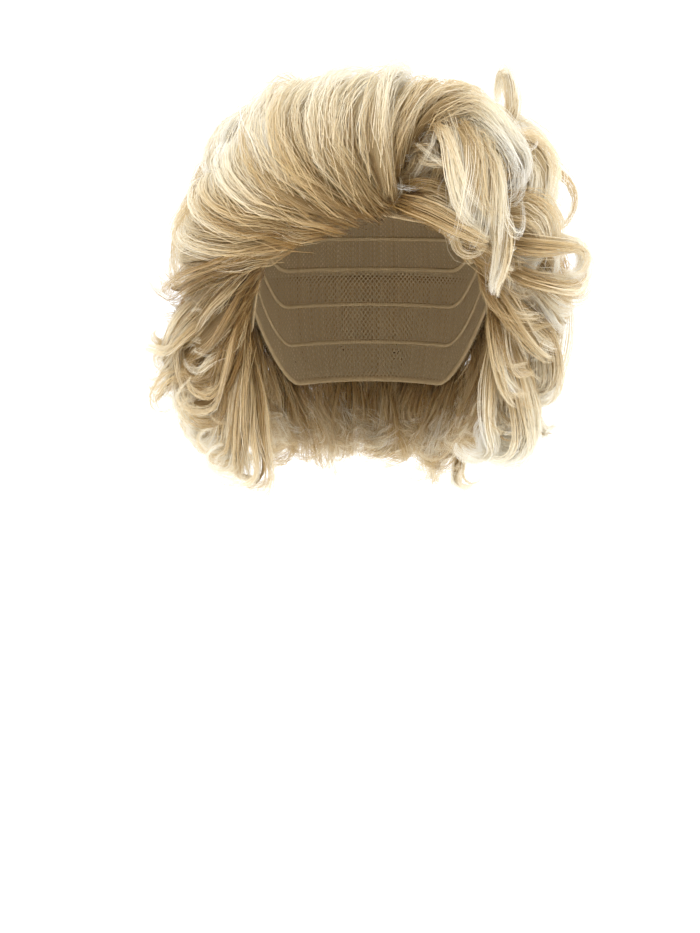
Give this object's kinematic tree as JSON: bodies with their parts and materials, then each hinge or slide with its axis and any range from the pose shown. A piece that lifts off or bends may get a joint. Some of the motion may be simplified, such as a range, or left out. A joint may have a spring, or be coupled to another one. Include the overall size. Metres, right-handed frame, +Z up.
{
  "type": "short curly wig",
  "caption": "Short curly blond wig with a swept-up quiff and flipped side curls on an open net cap, worn over the crown of a head.",
  "frame": {"origin": "inside top of the cap, where it sits on the crown of a head", "axes": "+Z up out of the crown, -Y out of the face opening, +X towards the wearer's left ear"},
  "size_m": [0.2739, 0.282, 0.2704],
  "materials": {
    "net": "openwork stretch net with bound edge",
    "hair": "satin blond fibre in combed locks, darker at the root and paler at the tip"
  },
  "bodies": {
    "root": {"wig_cap": "net", "quiff": "hair", "fringe": "hair", "crown": "hair", "left_side": "hair", "right_side": "hair", "back": "hair", "nape": "hair"}
  },
  "joints": []
}
